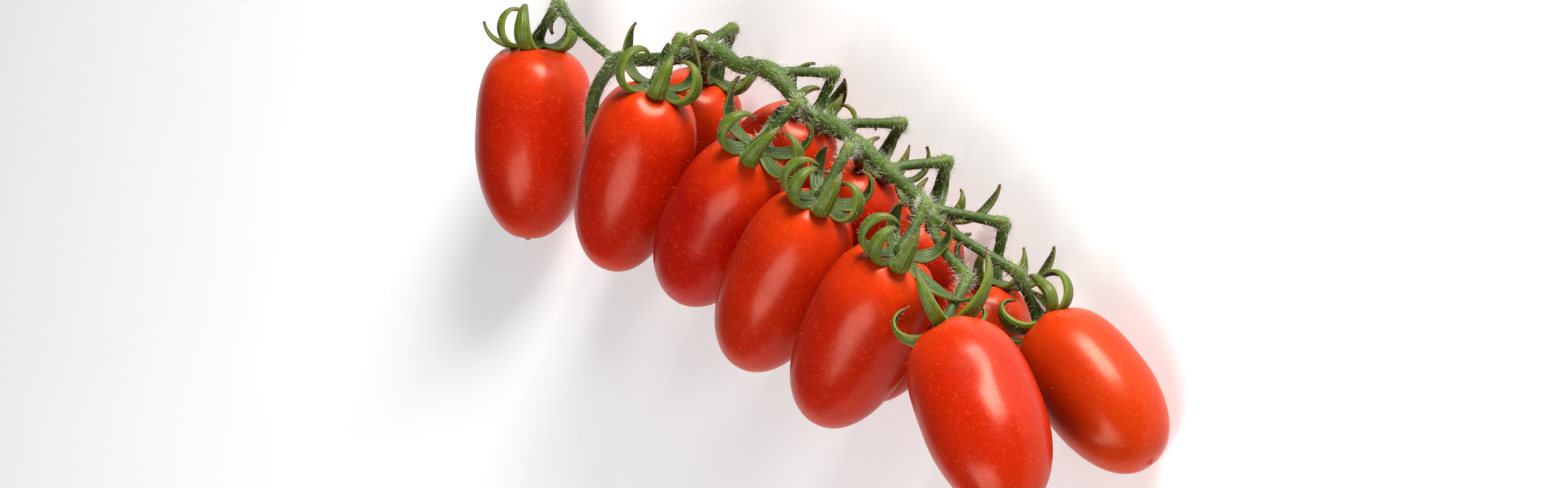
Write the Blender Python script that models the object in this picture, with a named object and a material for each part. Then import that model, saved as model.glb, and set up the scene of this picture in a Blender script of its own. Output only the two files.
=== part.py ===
"""A truss of twelve small plum tomatoes, cut with its stem and lying on its side.

The truss lies in two layers. Seven fruits rest on the surface and five rest on those.
X runs along the truss from the cut end, Y points to the side where the fruits hang from
the stem, and Z is up. Every length is in metres, and MM turns millimetres into metres.
"""
import math
import random
from collections import namedtuple

import bpy
from mathutils import Matrix, Vector

MM = 0.001

# Driving dimensions
FRUIT_DIAMETER = 27.4 * MM
FRUIT_LENGTH = 47.5 * MM
DIMPLE_DEPTH = 1.5 * MM
DIMPLE_RADIUS = 5.0 * MM
STEM_RADIUS = 2.3 * MM
PEDUNCLE_RADIUS = 2.1 * MM
PEDICEL_RADIUS = 1.35 * MM
PEDICEL_END_RADIUS = 1.8 * MM
KNUCKLE_RADIUS = 1.9 * MM
KNUCKLE_LENGTH = 3.0 * MM
KNUCKLE_BEND = 4.5 * MM
PEDICEL_RISE = 2.0 * MM
HUB_RADIUS = 3.0 * MM
HUB_THICKNESS = 1.2 * MM
HUB_SEAT_MARGIN = 4.5 * MM
SEPAL_LENGTH = 19.0 * MM
SEPAL_WIDTH = 4.4 * MM
SEPAL_TIP_WIDTH = 0.6 * MM
SEPAL_THICKNESS = 0.8 * MM
SEPAL_FLAT = 3.7 * MM
GAP = 0.3 * MM
PEDICEL_GAP = 0.6 * MM
FRUIT_GAP = 0.6 * MM

# Shape of a fruit: how square its shoulder and its blossom end are
SHOULDER_POWER = 2.35
BLOSSOM_POWER = 2.1

# Mesh fineness
FRUIT_SIDES = 16
FRUIT_RINGS = 11
BALLS_PER_FRUIT = 9
STEM_SIDES = 10
STEM_STEPS = 4
PEDICEL_SIDES = 8
PEDICEL_STEPS = 60
PEDICEL_SPACING = 2.5 * MM
KNUCKLE_SPACING = 1.0 * MM
SEPAL_STEPS = 7
SHARP_ANGLE = 50

# A fruit's stem end is placed along Y in fruit diameters, and along X either its middle, for
# a fruit hanging beside others, or its stem end, for one at the end of the truss. heading
# turns it about Z and tilt raises its stem end, in degrees. girth and length are its shares
# of the fruit diameter and length. node is where its pedicel leaves the main stem, in fruit
# diameters along X. lift (how far an upper fruit is above where it would rest) and knuckle
# (the pedicel's bend, from the stem end) are in millimetres.
Fruit = namedtuple("Fruit", "across held out heading tilt girth length layer lift node knuckle")
MIDDLE = "middle"
END = "stem end"
LOWER = "lower"
UPPER = "upper"
FRUITS = (
    Fruit(-3.25, MIDDLE, 0.19, -20, 9, 1.14, 1.03, LOWER, 0, -2.15, (6.0, 12.5, 5.0)),
    Fruit(-1.10, MIDDLE, 0.68, 0, 12, 1.00, 1.00, UPPER, 2, -1.10, (-2.0, 11.5, -3.0)),
    Fruit(-1.67, MIDDLE, 0.77, 8, 1, 1.00, 1.00, LOWER, 0, -1.28, (1.0, 13.0, 2.0)),
    Fruit(-0.57, MIDDLE, 0.95, 18, 1, 0.98, 1.00, LOWER, 0, -0.40, (0.5, 11.0, 0.0)),
    Fruit(-0.02, MIDDLE, 0.70, 19, 15, 0.97, 1.00, UPPER, 0, 0.25, (3.0, 13.5, -3.0)),
    Fruit(0.41, MIDDLE, 0.85, 9, 0, 0.96, 1.00, LOWER, 0, 0.47, (3.0, 12.0, 1.0)),
    Fruit(0.97, MIDDLE, 0.64, 12, 11, 0.98, 1.00, UPPER, 2, 0.90, (-1.5, 12.0, -3.0)),
    Fruit(1.41, MIDDLE, 0.80, -3, 4, 0.97, 1.00, LOWER, 0, 1.22, (0.5, 12.0, 2.0)),
    Fruit(1.97, MIDDLE, 0.60, 13, 12, 1.00, 1.00, UPPER, 2, 1.74, (-3.0, 11.0, -4.5)),
    Fruit(2.37, MIDDLE, 0.58, -9, 4, 0.92, 0.85, LOWER, 0, 1.80, (-2.0, 12.5, 2.0)),
    Fruit(2.87, END, 0.27, -60, -4, 1.02, 1.00, UPPER, 5, 1.95, (-7.0, 10.0, -8.0)),
    Fruit(2.98, END, 0.53, -68, 10, 0.95, 0.88, LOWER, 0, 1.88, (-7.0, 7.5, 6.0)),
)

# The main stem's route from its cut end, and where and over what length it thickens, all
# in fruit diameters. The peduncle is the part of the route below STEM_LEVEL.
STEM_ROUTE = (
    (-2.45, -0.95, 0.28),
    (-2.47, -0.60, 0.48),
    (-2.45, 0.04, 0.87),
    (-2.15, 0.51, 1.10),
    (-1.85, 0.66, 1.11),
    (-1.53, 0.81, 1.11),
    (-1.10, 1.06, 1.10),
    (-0.77, 1.07, 1.10),
    (-0.40, 1.17, 1.10),
    (0.22, 1.02, 1.10),
    (0.47, 1.06, 1.10),
    (0.91, 1.03, 1.10),
    (1.20, 0.99, 1.10),
    (1.79, 0.90, 1.10),
    (1.95, 0.76, 1.09),
)
STEM_THICKENS_AT = -1.3
STEM_THICKENS_OVER = 0.2
STEM_LEVEL = 1.0

# How late a pedicel swells towards its calyx, and how much of its way back to the stem counts
# with its knuckle in finding which way it leans
END_SWELL_POWER = 3
LEAN_SHARE = 0.25

# Sepals of each calyx: how many, the radius of the loop in which they curl once they lift
# off the fruit, in millimetres, the rise at the root, in degrees, and their share of the
# sepal length. PEDICEL_OPENING is the extra angle between the two beside the pedicel.
Star = namedtuple("Star", "count loop rise length")
STARS = (
    Star(5, 4.85, 0, 1.00),
    Star(6, 4.35, 0, 0.95),
    Star(5, 4.75, 4, 0.95),
    Star(5, 5.10, 4, 0.95),
    Star(6, 4.35, 0, 0.95),
    Star(5, 4.50, 4, 0.90),
    Star(5, 4.35, 0, 0.95),
    Star(5, 4.50, 4, 0.90),
    Star(5, 4.50, 0, 0.95),
    Star(5, 4.20, 4, 0.85),
    Star(5, 46.0, 0, 0.72),
    Star(5, 4.10, 15, 0.66),
)
PEDICEL_OPENING = 30
SEED = 7
LOOP_SPREAD = 0.15
LENGTH_SPREAD = 0.10
ANGLE_SPREAD = 6.0
SWAY_SPREAD = 12.0

# Outline of a sepal along its length: where it is widest, how its root swells and how it
# tapers. SEPAL_ROOT_SHARE is the part of its slice of the hub that its root takes up.
SEPAL_ROOT_SHARE = 0.80
SEPAL_WIDEST_AT = 0.2
SEPAL_TAPER_POWER = 1.5

SKIN = ("tomato_skin", (0.62, 0.02, 0.01), 0.22)
GREEN = ("stem_green", (0.10, 0.20, 0.04), 0.6)
LEAF = ("sepal_green", (0.13, 0.26, 0.05), 0.55)


def clear_scene():
    for obj in list(bpy.data.objects):
        bpy.data.objects.remove(obj, do_unlink=True)


def make_material(name, colour, roughness):
    material = bpy.data.materials.new(name)
    material.use_nodes = True
    shader = material.node_tree.nodes["Principled BSDF"]
    shader.inputs["Base Color"].default_value = (*colour, 1.0)
    shader.inputs["Roughness"].default_value = roughness
    material.diffuse_color = (*colour, 1.0)
    return material


def make_object(name, points, faces, material, parent):
    mesh = bpy.data.meshes.new(name)
    mesh.from_pydata([tuple(p) for p in points], [], faces)
    mesh.validate()
    mesh.shade_smooth()
    mesh.set_sharp_from_angle(angle=math.radians(SHARP_ANGLE))
    mesh.materials.append(material)
    obj = bpy.data.objects.new(name, mesh)
    bpy.context.scene.collection.objects.link(obj)
    obj.parent = parent
    return obj


# ---------------------------------------------------------------- fruits

def fruit_profile(radius, half_length):
    """Points (distance from the axis, height) from the blossom end to the dimple."""
    points = []
    for ring in range(FRUIT_RINGS + 1):
        angle = math.pi * (ring / FRUIT_RINGS - 0.5)
        power = SHOULDER_POWER if angle > 0 else BLOSSOM_POWER
        across = radius * math.cos(angle) ** (2 / power)
        along = half_length * math.copysign(abs(math.sin(angle)) ** (2 / power), angle)
        if angle > 0:
            along -= DIMPLE_DEPTH * math.exp(-((across / DIMPLE_RADIUS) ** 2))
        points.append((across, along))
    return points


def calyx_seat(radius, half_length):
    """Height at which a flat hub clears the dimple and the shoulder around it."""
    reach = HUB_RADIUS + HUB_SEAT_MARGIN
    inside = [z for r, z in fruit_profile(radius, half_length) if r < reach]
    return max(inside) + GAP


def turned_mesh(profile, sides):
    """A closed turned shape whose first and last profile points lie on its axis."""
    points = [Vector((0, 0, profile[0][1]))]
    for across, along in profile[1:-1]:
        for side in range(sides):
            turn = math.tau * side / sides
            points.append(Vector((across * math.cos(turn), across * math.sin(turn), along)))
    points.append(Vector((0, 0, profile[-1][1])))
    last = len(points) - 1
    faces = []
    for side in range(sides):
        after = (side + 1) % sides
        faces.append((0, 1 + after, 1 + side))
        for ring in range(len(profile) - 3):
            low = 1 + ring * sides
            high = low + sides
            faces.append((low + side, low + after, high + after, high + side))
        top = 1 + (len(profile) - 3) * sides
        faces.append((top + side, top + after, last))
    return points, faces


def fruit_axis(fruit):
    heading = math.radians(fruit.heading)
    tilt = math.radians(fruit.tilt)
    flat = math.cos(tilt)
    return Vector((math.sin(heading) * flat, math.cos(heading) * flat, math.sin(tilt)))


def fruit_frame(axis, origin):
    """Matrix whose Z is the fruit's axis, whose X leans up and whose Y points along +X."""
    up = (Vector((0, 0, 1)) - axis * axis.z).normalized()
    side = axis.cross(up)
    matrix = Matrix((up, side, axis)).transposed().to_4x4()
    matrix.translation = origin
    return matrix


def fruit_balls(fruit, radius, half_length, centre):
    """Balls along the axis that fill the fruit, as (centre, radius)."""
    axis = fruit_axis(fruit)
    reach = (half_length ** 2 - radius ** 2) / half_length
    balls = []
    for step in range(BALLS_PER_FRUIT):
        along = reach * (2 * step / (BALLS_PER_FRUIT - 1) - 1)
        inner = radius * math.sqrt(1 - along ** 2 / (half_length ** 2 - radius ** 2))
        balls.append((centre + axis * along, inner))
    return balls


def lowest_point(matrix, profile):
    points, _ = turned_mesh(profile, FRUIT_SIDES)
    return min((matrix @ p).z for p in points)


def rest_height(balls, lower_balls):
    """How far to raise these balls until they clear all the lower ones by the fruit gap."""
    raised = 0.0
    for centre, radius in balls:
        for other, other_radius in lower_balls:
            need = radius + other_radius + FRUIT_GAP
            apart = (centre - other).xy.length
            if apart < need:
                over = math.sqrt(need ** 2 - apart ** 2)
                raised = max(raised, other.z + over - centre.z)
    return raised


def place_fruits():
    """Frame matrix, radius and seat of each fruit, the lower layer settled first."""
    placed = {}
    lower_balls = []
    order = sorted(range(len(FRUITS)), key=lambda i: FRUITS[i].layer != LOWER)
    for index in order:
        fruit = FRUITS[index]
        radius = FRUIT_DIAMETER * fruit.girth / 2
        half_length = FRUIT_LENGTH * fruit.length / 2
        axis = fruit_axis(fruit)
        out = fruit.out * FRUIT_DIAMETER - axis.y * half_length
        across = fruit.across * FRUIT_DIAMETER
        if fruit.held == END:
            across -= axis.x * half_length
        centre = Vector((across, out, 0))
        profile = fruit_profile(radius, half_length)
        if fruit.layer == LOWER:
            centre.z = -lowest_point(fruit_frame(axis, centre), profile)
            lower_balls += fruit_balls(fruit, radius, half_length, centre)
        else:
            balls = fruit_balls(fruit, radius, half_length, centre)
            centre.z = rest_height(balls, lower_balls) + fruit.lift * MM
        placed[index] = (fruit_frame(axis, centre), radius, calyx_seat(radius, half_length))
    return placed


# ---------------------------------------------------------------- stems

def smooth_route(points, steps):
    """Points of a Catmull-Rom curve through the given points."""
    ends = [points[0] * 2 - points[1]] + list(points) + [points[-1] * 2 - points[-2]]
    route = []
    for a, b, c, d in zip(ends, ends[1:], ends[2:], ends[3:]):
        for step in range(steps):
            t = step / steps
            curve = (c - a) * t + (a * 2 - b * 5 + c * 4 - d) * t ** 2
            curve += (b * 3 - a - c * 3 + d) * t ** 3
            route.append(b + curve * 0.5)
    route.append(points[-1].copy())
    return route


def tube_rings(route, radii, sides):
    """Rings of points square to the route, turned as little as possible along it."""
    rings = []
    across = None
    for index, point in enumerate(route):
        before = route[max(index - 1, 0)]
        after = route[min(index + 1, len(route) - 1)]
        along = (after - before).normalized()
        if across is None:
            across = along.orthogonal().normalized()
        across = (across - along * across.dot(along)).normalized()
        other = along.cross(across)
        ring = []
        for side in range(sides):
            turn = math.tau * side / sides
            ring.append(point + (across * math.cos(turn) + other * math.sin(turn)) * radii[index])
        rings.append(ring)
    return rings


def tube_mesh(route, radii, sides):
    rings = tube_rings(route, radii, sides)
    points = [p for ring in rings for p in ring]
    faces = [tuple(reversed(range(sides)))]
    for ring in range(len(rings) - 1):
        low = ring * sides
        for side in range(sides):
            after = (side + 1) % sides
            faces.append((low + side, low + after, low + sides + after, low + sides + side))
    last = (len(rings) - 1) * sides
    faces.append(tuple(range(last, last + sides)))
    return points, faces


def stem_radius(across):
    """Main stem's radius at a place along X: thin next to the peduncle, thick beyond."""
    beyond = across / FRUIT_DIAMETER - STEM_THICKENS_AT
    blend = min(max(beyond / STEM_THICKENS_OVER + 0.5, 0), 1)
    return PEDUNCLE_RADIUS + (STEM_RADIUS - PEDUNCLE_RADIUS) * blend


def main_stem_route():
    points = [Vector(p) * FRUIT_DIAMETER for p in STEM_ROUTE]
    points[0].z = max(points[0].z, PEDUNCLE_RADIUS + GAP)
    return smooth_route(points, STEM_STEPS)


def stem_node(route, across):
    """Point of the main stem beyond the peduncle at a place along X."""
    beyond = [p for p in route if p.z > STEM_LEVEL * FRUIT_DIAMETER]
    return min(beyond, key=lambda p: abs(p.x - across * FRUIT_DIAMETER))


def clears_stem(points, stem):
    for p in points:
        for a, b in zip(stem, stem[1:]):
            if distance_to_line(p, a, b) < stem_radius(a.x) + GAP:
                return False
    return True


def trim_to_stem(route, radius, stem):
    """Drop the start of a pedicel until its end face clears the main stem."""
    for index in range(len(route) - 2):
        rest = route[index:]
        ring = tube_rings(rest[:2], [radius, radius], PEDICEL_SIDES)[0]
        if clears_stem(ring, stem):
            return rest
    return route


def distance_to_line(point, start, end):
    along = end - start
    share = min(max((point - start).dot(along) / along.length_squared, 0), 1)
    return (point - start - along * share).length


def pedicel_radii(route, knuckle):
    """Radii along a pedicel that swells at its knuckle and towards the calyx."""
    radii = []
    for index, point in enumerate(route):
        share = index / (len(route) - 1)
        swell = math.exp(-(((point - knuckle).length / KNUCKLE_LENGTH) ** 2))
        base = PEDICEL_RADIUS + (PEDICEL_END_RADIUS - PEDICEL_RADIUS) * share ** END_SWELL_POWER
        radii.append(base + (KNUCKLE_RADIUS - PEDICEL_RADIUS) * swell)
    return radii


def stem_end(fruit, frame):
    return frame @ Vector((0, 0, FRUIT_LENGTH * fruit.length / 2))


def pedicel_route(fruit, frame, seat, stem):
    """Route from the main stem through the knuckle to the top of the calyx hub."""
    node = stem_node(stem, fruit.node)
    knuckle = stem_end(fruit, frame) + Vector(fruit.knuckle) * MM
    hub_top = seat + HUB_THICKNESS + PEDICEL_GAP
    end = frame @ Vector((0, 0, hub_top))
    near_end = frame @ Vector((0, 0, hub_top + PEDICEL_RISE))
    before = knuckle + (node - knuckle).normalized() * KNUCKLE_BEND
    after = knuckle + (near_end - knuckle).normalized() * KNUCKLE_BEND
    route = smooth_route([node, before, after, near_end, end], PEDICEL_STEPS)
    trimmed = trim_to_stem(route, PEDICEL_RADIUS, stem)
    return thin_out(trimmed, knuckle), knuckle


def thin_out(route, knuckle):
    """Keep few points on the straight stretches and all of them near the knuckle."""
    kept = [route[0]]
    for point in route[1:-1]:
        near = (point - knuckle).length < KNUCKLE_LENGTH
        spacing = KNUCKLE_SPACING if near else PEDICEL_SPACING
        clear_of_end = (point - route[-1]).length > KNUCKLE_SPACING
        if clear_of_end and (point - kept[-1]).length > spacing:
            kept.append(point)
    kept.append(route[-1])
    return kept


# ---------------------------------------------------------------- calyxes

def sepal_heading(loop, rise, along):
    """Angle above the hub's plane: flat on the fruit at first, then round a loop."""
    return math.radians(rise) + max(along - SEPAL_FLAT, 0) / loop


def sepal_stations(length, loop, rise, sway):
    """Points (out, side, up) and heading of a sepal that curls up and inwards."""
    out = HUB_RADIUS
    side = 0.0
    up = HUB_THICKNESS / 2
    stations = [(out, side, up, 0.0)]
    step = length / SEPAL_STEPS
    for index in range(SEPAL_STEPS):
        middle = index + 0.5
        heading = sepal_heading(loop, rise, middle * step)
        out += step * math.cos(heading)
        up += step * math.sin(heading)
        side += step * math.sin(math.radians(sway)) * middle / SEPAL_STEPS
        stations.append((out, side, up, sepal_heading(loop, rise, (index + 1) * step)))
    return stations


def sepal_half_width(share, root):
    """Half the width of a sepal, which swells past its root and tapers to its tip."""
    widest = SEPAL_WIDTH / 2
    if share < SEPAL_WIDEST_AT:
        return root + (widest - root) * share / SEPAL_WIDEST_AT
    beyond = (share - SEPAL_WIDEST_AT) / (1 - SEPAL_WIDEST_AT)
    return max(widest * (1 - beyond ** SEPAL_TAPER_POWER), SEPAL_TIP_WIDTH / 2)


def sepal_rings(angle, stations, seat, root):
    """Four corners at each station, in the fruit's frame: two above and two below."""
    radial = Vector((math.cos(angle), math.sin(angle), 0))
    tangent = Vector((-math.sin(angle), math.cos(angle), 0))
    axis = Vector((0, 0, 1))
    rings = []
    for index, (out, side, up, heading) in enumerate(stations):
        share = index / (len(stations) - 1)
        centre = radial * out + tangent * side + axis * (seat + up)
        normal = axis * math.cos(heading) - radial * math.sin(heading)
        half = (HUB_THICKNESS if index == 0 else SEPAL_THICKNESS) / 2
        wide = tangent * sepal_half_width(share, root)
        above = normal * half
        rings.append((centre - wide + above, centre + wide + above,
                      centre + wide - above, centre - wide - above))
    return rings


def pedicel_lean(fruit, frame, stem):
    """Angle about the fruit's axis, in degrees, to which its pedicel bends away."""
    to_node = stem_node(stem, fruit.node) - stem_end(fruit, frame)
    local = frame.to_3x3().inverted() @ (Vector(fruit.knuckle) * MM + to_node * LEAN_SHARE)
    return math.degrees(math.atan2(local.y, local.x))


def calyx_mesh(star, lean, seat, dice):
    """A flat hub with curled sepals, the pedicel leaning between the first and the last."""
    root = HUB_RADIUS * math.sin(SEPAL_ROOT_SHARE * math.pi / star.count)
    points = []
    faces = []
    top = []
    bottom = []
    for number in range(star.count):
        spread = (360 - PEDICEL_OPENING) * (number + 0.5) / star.count
        angle = lean + PEDICEL_OPENING / 2 + spread + dice.uniform(-1, 1) * ANGLE_SPREAD
        length = SEPAL_LENGTH * star.length * (1 + dice.uniform(-1, 1) * LENGTH_SPREAD)
        loop = star.loop * MM / (1 + dice.uniform(-1, 1) * LOOP_SPREAD)
        sway = dice.uniform(-1, 1) * SWAY_SPREAD
        stations = sepal_stations(length, loop, star.rise, sway)
        rings = sepal_rings(math.radians(angle), stations, seat, root)
        base = len(points)
        points += [corner for ring in rings for corner in ring]
        for ring in range(len(rings) - 1):
            low = base + 4 * ring
            for side in range(4):
                after = (side + 1) % 4
                faces.append((low + side, low + 4 + side, low + 4 + after, low + after))
        tip = base + 4 * (len(rings) - 1)
        faces.append((tip + 3, tip + 2, tip + 1, tip))
        top.append((base, base + 1))
        bottom.append((base + 3, base + 2))
    faces.append(tuple(index for pair in top for index in pair))
    faces.append(tuple(index for pair in reversed(bottom) for index in reversed(pair)))
    for number in range(star.count):
        after = (number + 1) % star.count
        faces.append((bottom[number][1], bottom[after][0], top[after][0], top[number][1]))
    return points, faces


# ---------------------------------------------------------------- the truss

def centre_on_surface(truss):
    """Move the truss so that its box stands on the origin."""
    bpy.context.view_layer.update()
    corners = [child.matrix_world @ v.co for child in truss.children for v in child.data.vertices]
    low = Vector(min(c[i] for c in corners) for i in range(3))
    high = Vector(max(c[i] for c in corners) for i in range(3))
    truss.location = (-(low.x + high.x) / 2, -(low.y + high.y) / 2, -low.z)


def build():
    clear_scene()
    skin = make_material(*SKIN)
    green = make_material(*GREEN)
    leaf = make_material(*LEAF)
    truss = bpy.data.objects.new("truss", None)
    bpy.context.scene.collection.objects.link(truss)
    stem = main_stem_route()
    radii = [stem_radius(p.x) for p in stem]
    make_object("main_stem", *tube_mesh(stem, radii, STEM_SIDES), green, truss)
    placed = place_fruits()
    for index, fruit in enumerate(FRUITS):
        frame, radius, seat = placed[index]
        number = f"{index + 1:02d}"
        profile = fruit_profile(radius, FRUIT_LENGTH * fruit.length / 2)
        tomato = make_object("tomato_" + number, *turned_mesh(profile, FRUIT_SIDES), skin, truss)
        tomato.matrix_local = frame
        dice = random.Random(SEED + index)
        lean = pedicel_lean(fruit, frame, stem)
        star = calyx_mesh(STARS[index], lean, seat, dice)
        calyx = make_object("calyx_" + number, *star, leaf, truss)
        calyx.matrix_local = frame
        route, knuckle = pedicel_route(fruit, frame, seat, stem)
        tube = tube_mesh(route, pedicel_radii(route, knuckle), PEDICEL_SIDES)
        make_object("pedicel_" + number, *tube, green, truss)
    centre_on_surface(truss)


build()
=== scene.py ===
"""Looks of a truss of twelve small plum tomatoes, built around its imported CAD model.

Every length is in metres, in the frame of the CAD model: X runs along the truss from the
cut end, Y points to the side where the fruits hang from the stem, and Z is up. A fruit's
own frame has its axis along Z towards the stem end, and its X leaning up.
"""

import math
from collections import namedtuple

import bpy
import numpy as np
from mathutils import Matrix, Vector, noise
from mathutils.kdtree import KDTree


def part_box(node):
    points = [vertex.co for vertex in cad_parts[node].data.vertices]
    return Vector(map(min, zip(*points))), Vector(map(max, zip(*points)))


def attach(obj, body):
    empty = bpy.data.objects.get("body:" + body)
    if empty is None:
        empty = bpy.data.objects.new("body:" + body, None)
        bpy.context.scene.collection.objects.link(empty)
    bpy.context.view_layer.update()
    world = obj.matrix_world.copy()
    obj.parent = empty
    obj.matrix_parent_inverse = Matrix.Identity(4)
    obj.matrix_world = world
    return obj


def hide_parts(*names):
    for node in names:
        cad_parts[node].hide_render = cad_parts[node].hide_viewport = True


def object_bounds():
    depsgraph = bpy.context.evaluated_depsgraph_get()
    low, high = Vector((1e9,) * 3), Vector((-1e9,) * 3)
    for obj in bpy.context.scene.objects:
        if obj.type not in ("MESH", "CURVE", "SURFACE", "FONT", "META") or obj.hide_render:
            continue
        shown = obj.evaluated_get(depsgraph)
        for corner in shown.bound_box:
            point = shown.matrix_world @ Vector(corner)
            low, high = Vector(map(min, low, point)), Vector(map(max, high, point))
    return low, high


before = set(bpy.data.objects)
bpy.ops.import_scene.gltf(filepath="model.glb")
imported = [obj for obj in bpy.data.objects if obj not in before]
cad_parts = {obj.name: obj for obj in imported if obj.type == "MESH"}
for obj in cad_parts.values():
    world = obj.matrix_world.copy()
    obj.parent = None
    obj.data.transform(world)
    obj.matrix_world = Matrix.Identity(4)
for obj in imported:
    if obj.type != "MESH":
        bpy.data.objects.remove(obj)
cad_low, cad_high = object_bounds()

MM = 0.001
BODY = "root"
NUMBERS = [f"{n:02d}" for n in range(1, 13)]

# Fruits
DIMPLE_DEPTH = 1.5 * MM
DIMPLE_RADIUS = 4.4 * MM
SHOULDER_POWER = 2.75
BLOSSOM_POWER = 2.1
SHRINK = 0.992
FRUIT_SIDES = 112
FRUIT_RINGS = 84
FURROW_DEPTH = 0.55 * MM
FURROW_RADIUS = 7.5 * MM
FURROW_WIDTH = 4.5 * MM
NUB_HEIGHT = 0.55 * MM
NUB_RADIUS = 0.8 * MM
NUB_DENT = 0.35 * MM
NUB_DENT_RADIUS = 3.2 * MM
LUMP_HEIGHT = 0.28 * MM
LUMP_SIZE = 14 * MM
LUMP_TOP = 0.2
SCAR_RADIUS = 0.45 * MM
SKIN_INSET = 0.012
TWO_FLATS = 0.010
THREE_FLATS = 0.007
FURROW_EVEN = 0.8
FURROW_UNEVEN = 0.5

# A soft dent in one fruit's side, in that fruit's frame: fruit, angle, height share, depth
DENTS = {"11": (35, 0.25, 0.7 * MM), "01": (60, 0.45, 0.35 * MM)}
DENT_RADIUS = 5 * MM

# How orange each fruit still is, from 0 for a full red one
ORANGES = {
    "01": 0.15, "02": 0.1, "03": 0.25, "07": 0.2, "09": 0.15, "10": 0.3, "11": 0.2, "12": 0.55,
}

# How much wider than its middle each fruit's shoulder is, and its tip narrower
SKEWS = {"01": 0.06, "02": 0.03, "05": -0.03, "07": -0.02, "09": 0.02, "11": 0.02, "12": -0.04}

# Stems. The route repeats the CAD model's points, in fruit diameters of 27.4 mm.
FRUIT_DIAMETER = 27.4 * MM
STEM_ROUTE = (
    (-2.45, -0.95, 0.28),
    (-2.47, -0.60, 0.48),
    (-2.45, 0.04, 0.87),
    (-2.15, 0.51, 1.10),
    (-1.85, 0.66, 1.11),
    (-1.53, 0.81, 1.11),
    (-1.10, 1.06, 1.10),
    (-0.77, 1.07, 1.10),
    (-0.40, 1.17, 1.10),
    (0.22, 1.02, 1.10),
    (0.47, 1.06, 1.10),
    (0.91, 1.03, 1.10),
    (1.20, 0.99, 1.10),
    (1.79, 0.90, 1.10),
    (1.95, 0.76, 1.09),
)
STEM_THICKENS_AT = -1.3
STEM_RADIUS = 1.78 * MM
PEDUNCLE_RADIUS = 1.65 * MM
STEM_TIP_RADIUS = 1.35 * MM
NODE_SWELL = 0.50 * MM
NODE_REACH = 4.0 * MM
PEDICEL_RADIUS = 1.15 * MM
PEDICEL_END_RADIUS = 2.15 * MM
PEDICEL_FLARE = 3.2 * MM
KNUCKLE_RADIUS = 1.55 * MM
KNUCKLE_LENGTH = 3.4 * MM
KNUCKLE_BEND = 1.1 * MM
PEDICEL_RISE = 2.6 * MM
GROOVE_DEPTH = 0.25 * MM
GROOVE_OFFSET = 2.2 * MM
GROOVE_WIDTH = 0.35 * MM
STEM_THICKENING = 5
STEM_TAPERS_FROM = 0.2
STEM_TAPERS_OVER = 1.8
PEDICEL_SEAT = 0.2 * MM
PEDICEL_ARCH = 0.08
KNUCKLE_BOXINESS = 0.10
CUT_DEPTH = 0.45 * MM
JOINT_REACH = 3.2 * MM
NODE_JOINT_REACH = 4 * MM
NODE_JOINT_SHARE = 0.45
KNUCKLE_SCAR_RADIUS = 0.7 * MM
KNUCKLE_SCAR_SHARE = 0.8
TUBE_STEP = 0.35 * MM
TUBE_SIDES = 24
FUSE_VOXEL = 0.27 * MM
SOFTEN_FACTOR = 0.5
SOFTEN_PASSES = 5
STEM_LUMP = 0.1 * MM
STEM_LUMP_SIZE = 1.6 * MM
FINE_LUMP = 0.035 * MM
FINE_LUMP_SIZE = 0.55 * MM

# Each pedicel: where it leaves the main stem, in fruit diameters along X, and its
# knuckle's place from the fruit's stem end, in millimetres
Pedicel = namedtuple("Pedicel", "node knuckle")
PEDICELS = {
    "01": Pedicel(-2.15, (6.0, 12.5, 5.0)),
    "02": Pedicel(-1.10, (-2.0, 11.5, -3.0)),
    "03": Pedicel(-1.28, (1.0, 13.0, 2.0)),
    "04": Pedicel(-0.40, (0.5, 11.0, 0.0)),
    "05": Pedicel(0.25, (3.0, 13.5, -3.0)),
    "06": Pedicel(0.47, (3.0, 12.0, 1.0)),
    "07": Pedicel(0.90, (-1.5, 12.0, -3.0)),
    "08": Pedicel(1.22, (0.5, 12.0, 2.0)),
    "09": Pedicel(1.74, (-3.0, 11.0, -4.5)),
    "10": Pedicel(1.80, (-2.0, 12.5, 2.0)),
    "11": Pedicel(1.95, (-7.0, 10.0, -8.0)),
    "12": Pedicel(1.88, (-7.0, 7.5, 6.0)),
}

# Sepals
HUB_RADIUS = 3.4 * MM
HUB_RISE = 1.0 * MM
SEPAL_START = 1.4 * MM
SEPAL_WIDTH = 5.3 * MM
SEPAL_ROOT_WIDTH = 4.8 * MM
SEPAL_THICKNESS = 1.10 * MM
SEPAL_EDGE = 0.16 * MM
SEPAL_CUP = 0.30
SEPAL_STEPS = 44
SEPAL_ACROSS = 8
SEPAL_WAVE = 0.22 * MM
SEPAL_WAVES = 9
SEPAL_KEEL = 0.22 * MM
SEPAL_KEEL_WIDTH = 0.22
SEPAL_THINNING = 0.55
SEPAL_FULLNESS = 0.999
SEPAL_CUP_AT_ROOT = 0.4
SEPAL_ROUNDING = 0.18
SEPAL_TIP_SHARE = 0.02
SEPAL_TIP = 0.10 * MM
HUB_SIDES = 32
HUB_LOBES = 0.06
HUB_PROFILE = ((1.0, -0.1), (1.08, 0.35), (0.95, 0.8), (0.7, 1.2), (0.4, 1.5), (0.05, 1.6))

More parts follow.
